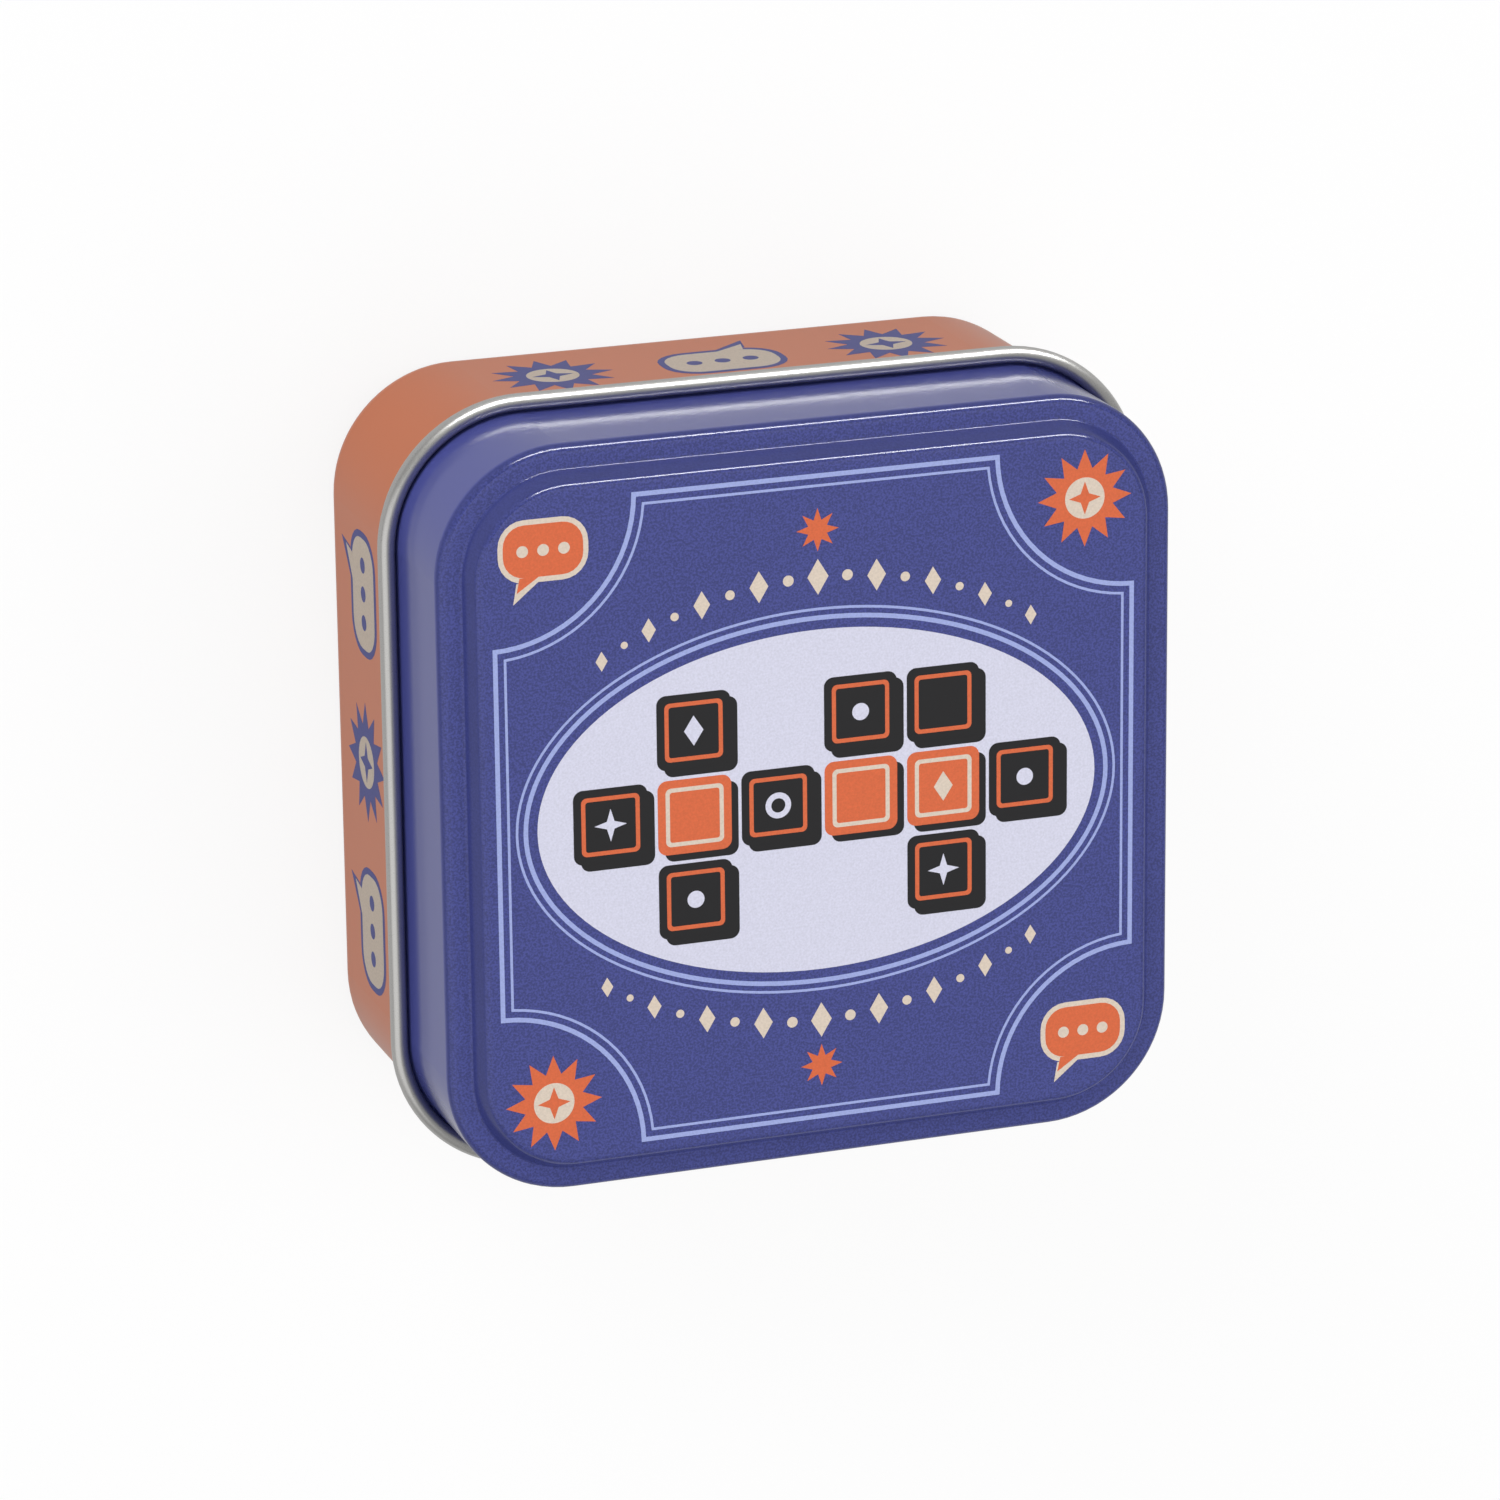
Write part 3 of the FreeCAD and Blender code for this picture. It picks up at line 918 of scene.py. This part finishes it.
@dataclass
class Lid:
    """The lid: blue print outside, bare tin inside and on the rolled edge.

    Attributes:
        straight: half the straight part of a wall.
        wall_half: how far out the skirt's face is.
        low: the level of the lid's lowest point.
        top: the level of its panel.
        print_over: how far past the skirt's face the print goes before the roll is bare.
        roll_out: how far the roll's axis lies outside the skirt's face.
        roll_up: how far it lies above the lid's lowest point.
        frame_lines: the inset and the width of each line of the frame.
        label_lines: the distance from the label and the width of each ring round it.
        garland_gap: how much wider and higher, by halves, the garlands' oval is than the label.
    """

    node: bpy.types.Object
    straight: float
    wall_half: float
    low: float
    top: float
    ink: str = "#3C4280"
    # A lighter copy of the ink for the walls, such as the skirt: painted light
    painted_light_wall_ink: str = "#5258A2"
    print_over: float = 0.08 * MM
    roll_out: float = 0.85 * MM
    roll_up: float = 1.15 * MM
    frame_half: float = 34.95
    frame_bite: float = 15.0
    frame_lines: tuple[Pair, ...] = ((0.0, 0.50), (1.15, 0.28))
    label_half: Pair = (30.6, 18.4)
    label_lines: tuple[Pair, ...] = ((1.0, 0.50), (2.05, 0.28))
    garland_gap: Pair = (3.6, 5.6)
    tile_pitch: float = 9.1
    corner_spot: float = 29.4
    talk_rise: float = 0.5

    def finish(self) -> None:
        """Dress the pressing in printed tinplate."""
        sheet = PrintedSheet(
            "blue_printed_tinplate",
            self.ink,
            self.painted_light_wall_ink,
            self.straight,
            print_reach=self.wall_half + self.print_over - self.straight,
            print_top=self.top + MM,
            roll_axis=(self.wall_half + self.roll_out - self.straight, self.low + self.roll_up),
        )
        dress(self.node, sheet.material())
        LOG.info("lid: printed tinplate")

    def print_panel(self) -> None:
        """Print the raised panel."""
        art = Print("lid_print", "cover", "blue_tinplate")
        face = Face.top(self.top)
        for inset, width in self.frame_lines:
            outer = ticket(self.frame_half, self.frame_bite, inset)
            art.lay(face, Ink.SKY, 1, outer, ticket(self.frame_half, self.frame_bite, inset + width))
        self.print_label(art, face)
        wide, high = (half + gap for half, gap in zip(self.label_half, self.garland_gap))
        garland = Garland((wide, high))
        for side in (1, -1):
            garland.draw(art, face, side)
        talk = TalkMotif(width=9.6, height=6.6, tail=2.2, rim=0.55, dot=0.62)
        spark = SparkMotif(radius=5.2, eye=2.2)
        spot = self.corner_spot
        for side in (1, -1):
            talk.draw(art, face, (-side * spot, side * spot + self.talk_rise), (Ink.ORANGE, Ink.CREAM))
            spark.draw(art, face, (side * spot, side * spot), (Ink.ORANGE, Ink.CREAM))
        art.place()

    def print_label(self, art: Print, face: Face) -> None:
        """Print the oval label, its rings and the rows of game tiles on it.

        Args:
            art: the panel's print.
            face: the panel.
        """
        wide, high = self.label_half
        art.lay(face, Ink.PALE, 1, oval(wide, high))
        for start, width in self.label_lines:
            end = start + width
            art.lay(face, Ink.SKY, 1, oval(wide + end, high + end), oval(wide + start, high + start))
        tile = GameTile()
        dark = (Ink.BLACK, Ink.ORANGE, Ink.PALE)
        bright = (Ink.ORANGE, Ink.CREAM, Ink.CREAM)
        middle_row = (Sign.STAR, Sign.NONE, Sign.RING, Sign.NONE, Sign.DIAMOND, Sign.DOT)
        crossing = {
            1: ((1, Sign.DIAMOND), (-1, Sign.DOT)),
            3: ((1, Sign.DOT),),
            4: ((-1, Sign.STAR), (1, Sign.NONE)),
        }
        for column, sign in enumerate(middle_row):
            x = (column - (len(middle_row) - 1) / 2) * self.tile_pitch
            tile.draw(art, face, (x, 0), bright if column in crossing else dark, sign)
            for row, other in crossing.get(column, ()):
                tile.draw(art, face, (x, row * self.tile_pitch), dark, other)


@dataclass
class TinBody:
    """The tin's body: orange print outside, bare tin inside and on the rolled rim.

    Attributes:
        straight: half the straight part of a wall.
        wall_half: how far out the wall's face is.
        rim_top: the level of the rolled rim's top.
        bare_rim: how far below that the print ends.
    """

    node: bpy.types.Object
    straight: float
    wall_half: float
    rim_top: float
    ink: str = "#D06C35"
    bare_rim: float = 2.4 * MM
    motif_level: float = 12.4 * MM
    motif_pitch: float = 18.6
    talk_rise: float = 0.6

    def finish(self) -> None:
        """Dress the pressing in printed tinplate."""
        sheet = PrintedSheet(
            "orange_printed_tinplate",
            self.ink,
            self.ink,
            self.straight,
            print_reach=self.wall_half + MM - self.straight,
            print_top=self.rim_top - self.bare_rim,
            speckle=0.10,
            drawn_roughness=0.30,
            varnish_ior=1.55,
        )
        dress(self.node, sheet.material())
        LOG.info("tin_body: printed tinplate")

    def print_walls(self) -> None:
        """Print a row of motifs on the flat of each wall."""
        art = Print("wall_print", "tin", "orange_tinplate")
        talk = TalkMotif(width=13.6, height=9.2, tail=3.0, rim=0.75, dot=0.85)
        spark = SparkMotif(radius=6.6, eye=2.8)
        for quarter in range(4):
            face = Face.wall(quarter, self.wall_half, self.motif_level)
            for step in (-1, 0, 1):
                x = step * self.motif_pitch
                if (step + quarter) % 2:
                    talk.draw(art, face, (x, self.talk_rise), (Ink.CREAM, Ink.BLUE))
                else:
                    spark.draw(art, face, (x, 0), (Ink.BLUE, Ink.CREAM))
        art.place()


@dataclass
class Deck:
    """Fifty square cards, alike in finish.

    Attributes:
        straight: half the side of the square between the tin's corner arcs' centres.
        half: half a card's width.
        margin: the width of the white margin.
        line: the width of the line inside it.
        gap: the white between that line and the lattice.
    """

    cards: list[bpy.types.Object]
    straight: float
    half: float
    margin: float = 3.0 * MM
    line: float = 0.6 * MM
    gap: float = 0.8 * MM

    def finish(self) -> None:
        """Dress the cards in printed board."""
        line_end = self.half - self.margin - self.straight
        stock = CardStock(
            self.straight,
            margin_start=line_end,
            line_start=line_end - self.line,
            field_start=line_end - self.line - self.gap,
        )
        board = stock.material()
        for card in self.cards:
            dress(card, board)
            LOG.info("%s: coated board", card.name)


@dataclass
class Leaflet:
    """The folded rules leaflet, with plain bars where text would be.

    Attributes:
        top: the level of its upper leaf.
        bar_widths: the widths of its rows of bars, zero being an empty row.
        bar_start: how far above the leaf's middle the first row is.
    """

    node: bpy.types.Object
    top: float
    frame_half: float = 30.0
    frame_bite: float = 5.0
    frame_line: float = 0.5
    tile_pitch: float = 9.0
    tile_rise: float = 16.5
    bar: float = 1.1
    bar_corner: float = 0.4
    bar_pitch: float = 3.1
    bar_start: float = 5.5
    bar_widths: tuple[float, ...] = (42, 44, 40, 43, 26, 0, 44, 41, 43, 30)

    def finish(self) -> None:
        """Dress the leaflet in paper."""
        dress(self.node, LeafletPaper().material())
        LOG.info("rules_leaflet: paper")

    def print_front(self) -> None:
        """Print a frame, a row of tiles and bars on the upper leaf."""
        art = Print("leaflet_print", "leaflet", "leaflet_paper", Stock.PAPER, film=0.006, sunk=0.01)
        face = Face.top(self.top)
        outer = ticket(self.frame_half, self.frame_bite, 0.0)
        art.lay(face, Ink.BLUE, 1, outer, ticket(self.frame_half, self.frame_bite, self.frame_line))
        for step in (-1, 0, 1):
            spot = (step * self.tile_pitch, self.tile_rise)
            GameTile().draw(art, face, spot, (Ink.BLUE, Ink.SKY, Ink.PALE), Sign.NONE)
        for row, width in enumerate(self.bar_widths):
            if width:
                spot = ((width - max(self.bar_widths)) / 2, self.bar_start - row * self.bar_pitch)
                art.lay(face, Ink.BLUE, 1, placed(rounded_box(width, self.bar, self.bar_corner, 3), *spot))
        art.place()


# Surroundings


class LampUse(Enum):
    """What a lamp is for: lighting surfaces without a mirror image, or giving only a mirror image."""

    LIGHT = "light"
    MIRROR = "mirror"


@dataclass(frozen=True)
class Lamp:
    """A soft rectangular lamp that faces the tin: its middle, its width and height, and its watts."""

    name: str
    place: tuple[float, float, float]
    size: Pair
    power: float
    use: LampUse

    def add(self, aim: Vector) -> None:
        """Add the lamp, turned to face a point."""
        data = bpy.data.lights.new(self.name, "AREA")
        data.shape = "RECTANGLE"
        data.size, data.size_y = self.size
        data.energy = self.power
        lamp = bpy.data.objects.new(self.name, data)
        lamp.location = self.place
        lamp.rotation_euler = (aim - Vector(self.place)).to_track_quat("-Z", "Z").to_euler()
        lamp.visible_glossy = self.use is LampUse.MIRROR
        lamp.visible_diffuse = self.use is LampUse.LIGHT
        bpy.context.scene.collection.objects.link(lamp)
        LOG.info("%s: lamp", self.name)


@dataclass
class Studio:
    """Floor, surroundings, lamps and camera.

    Attributes:
        floor_colour: the floor as it lights the tin.
        floor_seen: the floor as the camera sees it.
        floor_glow: how much of what the camera sees is plain white, the rest being the shaded floor.
        mirror_glow: the same in reflections.
        sky: the strength of the surroundings as light.
        mirror_sky: their strength in reflections.
    """

    camera_place: Vector = Vector((-0.2308, 0.2173, 0.6812))
    camera_aim: Vector = Vector((-0.00755, 0.0063, 0.042))
    camera_roll: float = -0.635
    lens: float = 165.74
    floor_half: float = 30.0
    floor_drop: float = 0.1 * MM
    floor_colour: str = "#8C8C8C"
    floor_seen: str = "#F4F4F4"
    floor_glow: float = 0.86
    mirror_glow: float = 0.54
    sky: float = 0.42
    mirror_sky: float = 0.42
    lamp_aim: Vector = Vector((0, 0, 0.03))
    lamps: tuple[Lamp, ...] = (
        Lamp("overhead", (0.35, -0.15, 1.15), (1.40, 1.40), 10.5, LampUse.LIGHT),
        Lamp("wall_fill", (-0.75, 0.85, 0.45), (1.00, 0.80), 8.0, LampUse.LIGHT),
        Lamp("softbox", (0.28, 0.85, 0.56), (0.95, 0.14), 19.0, LampUse.MIRROR),
        Lamp("side_card", (-0.72, -0.30, 0.72), (1.30, 1.10), 3.2, LampUse.MIRROR),
    )

    def build(self) -> None:
        """Make the surroundings in order."""
        self.make_floor()
        self.make_sky()
        for lamp in self.lamps:
            lamp.add(self.lamp_aim)
        self.place_camera()
        bpy.context.scene.view_settings.view_transform = "Standard"

    def mirrored(self, tree: Tree, path: bpy.types.Node) -> Socket:
        """Tell what is seen in a mirror or through glass.

        Args:
            tree: the node tree of the floor or the surroundings.
            path: its light path node.

        Returns:
            A socket that is one there and zero elsewhere.
        """
        return add_node(
            tree,
            "Math",
            {0: path.outputs["Is Glossy Ray"], 1: path.outputs["Is Transmission Ray"]},
            operation="MAXIMUM",
        ).outputs[0]

    def make_floor(self) -> None:
        """Lay a grey floor that looks white with the tin's faint shadow on it, and pale in reflections."""
        half, low = self.floor_half, -self.floor_drop
        corners = [(-half, -half, low), (half, -half, low), (half, half, low), (-half, half, low)]
        data = bpy.data.meshes.new("floor")
        data.from_pydata(corners, [], [(0, 1, 2, 3)])
        floor = bpy.data.objects.new("floor", data)
        bpy.context.scene.collection.objects.link(floor)
        made = new_material("white_paper_sweep")
        tree = made.node_tree
        path = add_node(tree, "LightPath")
        seen = path.outputs["Is Camera Ray"]
        share = add_node(
            tree, "Math", {0: self.mirrored(tree, path), 1: self.mirror_glow}, operation="MULTIPLY"
        ).outputs[0]
        share = add_node(
            tree, "Math", {0: seen, 1: self.floor_glow, 2: share}, operation="MULTIPLY_ADD"
        ).outputs[0]
        paper = add_node(
            tree,
            "Mix",
            {0: seen, 6: linear(self.floor_colour), 7: linear(self.floor_seen)},
            data_type="RGBA",
        ).outputs[2]
        matt = add_node(tree, "BsdfDiffuse", {"Color": paper})
        glow = add_node(tree, "Emission", {"Color": (1, 1, 1, 1)})
        mixed = add_node(tree, "MixShader", {0: share, 1: matt.outputs[0], 2: glow.outputs[0]})
        add_node(tree, "OutputMaterial", {"Surface": mixed.outputs[0]})
        data.materials.append(made)
        LOG.info("floor: white paper sweep")

    def make_sky(self) -> None:
        """Give surroundings that are white where they are seen, and grey as light and in reflections."""
        world = bpy.data.worlds.new("surroundings")
        world.use_nodes = True
        tree = world.node_tree
        tree.nodes.clear()
        path = add_node(tree, "LightPath")
        level = add_node(
            tree, "MapRange", {0: self.mirrored(tree, path), 3: self.sky, 4: self.mirror_sky}
        ).outputs[0]
        level = add_node(
            tree, "Math", {0: level, 1: path.outputs["Is Camera Ray"]}, operation="MAXIMUM"
        ).outputs[0]
        light = add_node(tree, "Background", {"Color": (1, 1, 1, 1), "Strength": level})
        add_node(tree, "OutputWorld", {"Surface": light.outputs[0]})
        bpy.context.scene.world = world

    def place_camera(self) -> None:
        """Set the camera above the lid and to its upper left, turned so that the print's top is up."""
        ahead = (self.camera_aim - self.camera_place).normalized()
        level = ahead.cross(Vector((0, 1, 0))).normalized()
        upright = level.cross(ahead)
        roll = math.radians(self.camera_roll)
        right = level * math.cos(roll) + upright * math.sin(roll)
        camera = bpy.data.objects.new("camera", bpy.data.cameras.new("camera"))
        camera.data.lens = self.lens
        matrix = camera.matrix_world.to_3x3()
        for axis, column in enumerate((right, right.cross(ahead), -ahead)):
            matrix.col[axis] = column
        camera.matrix_world = matrix.to_4x4()
        camera.location = self.camera_place
        bpy.context.scene.collection.objects.link(camera)
        bpy.context.scene.camera = camera


def main() -> None:
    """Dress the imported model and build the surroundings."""
    logging.basicConfig(level=logging.INFO, format="%(message)s")
    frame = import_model()
    nodes = frame["nodes"]
    body_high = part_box("tin_body")[1]
    wall_half = body_high.x
    straight = wall_half - WALL_CORNER
    body = TinBody(nodes["tin_body"], straight, wall_half, body_high.z)
    body.finish()
    body.print_walls()
    cards = sorted(name for name in nodes if name.startswith("card_"))
    card_low, card_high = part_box(cards[0])
    Deck([nodes[card] for card in cards], straight, (card_high.x - card_low.x) / 2).finish()
    leaflet = Leaflet(nodes["rules_leaflet"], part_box("rules_leaflet")[1].z)
    leaflet.finish()
    leaflet.print_front()
    lid_low, lid_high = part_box("lid")
    lid = Lid(nodes["lid"], straight, wall_half, lid_low.z, lid_high.z)
    lid.finish()
    lid.print_panel()
    Studio().build()


if __name__ == "__main__":
    main()
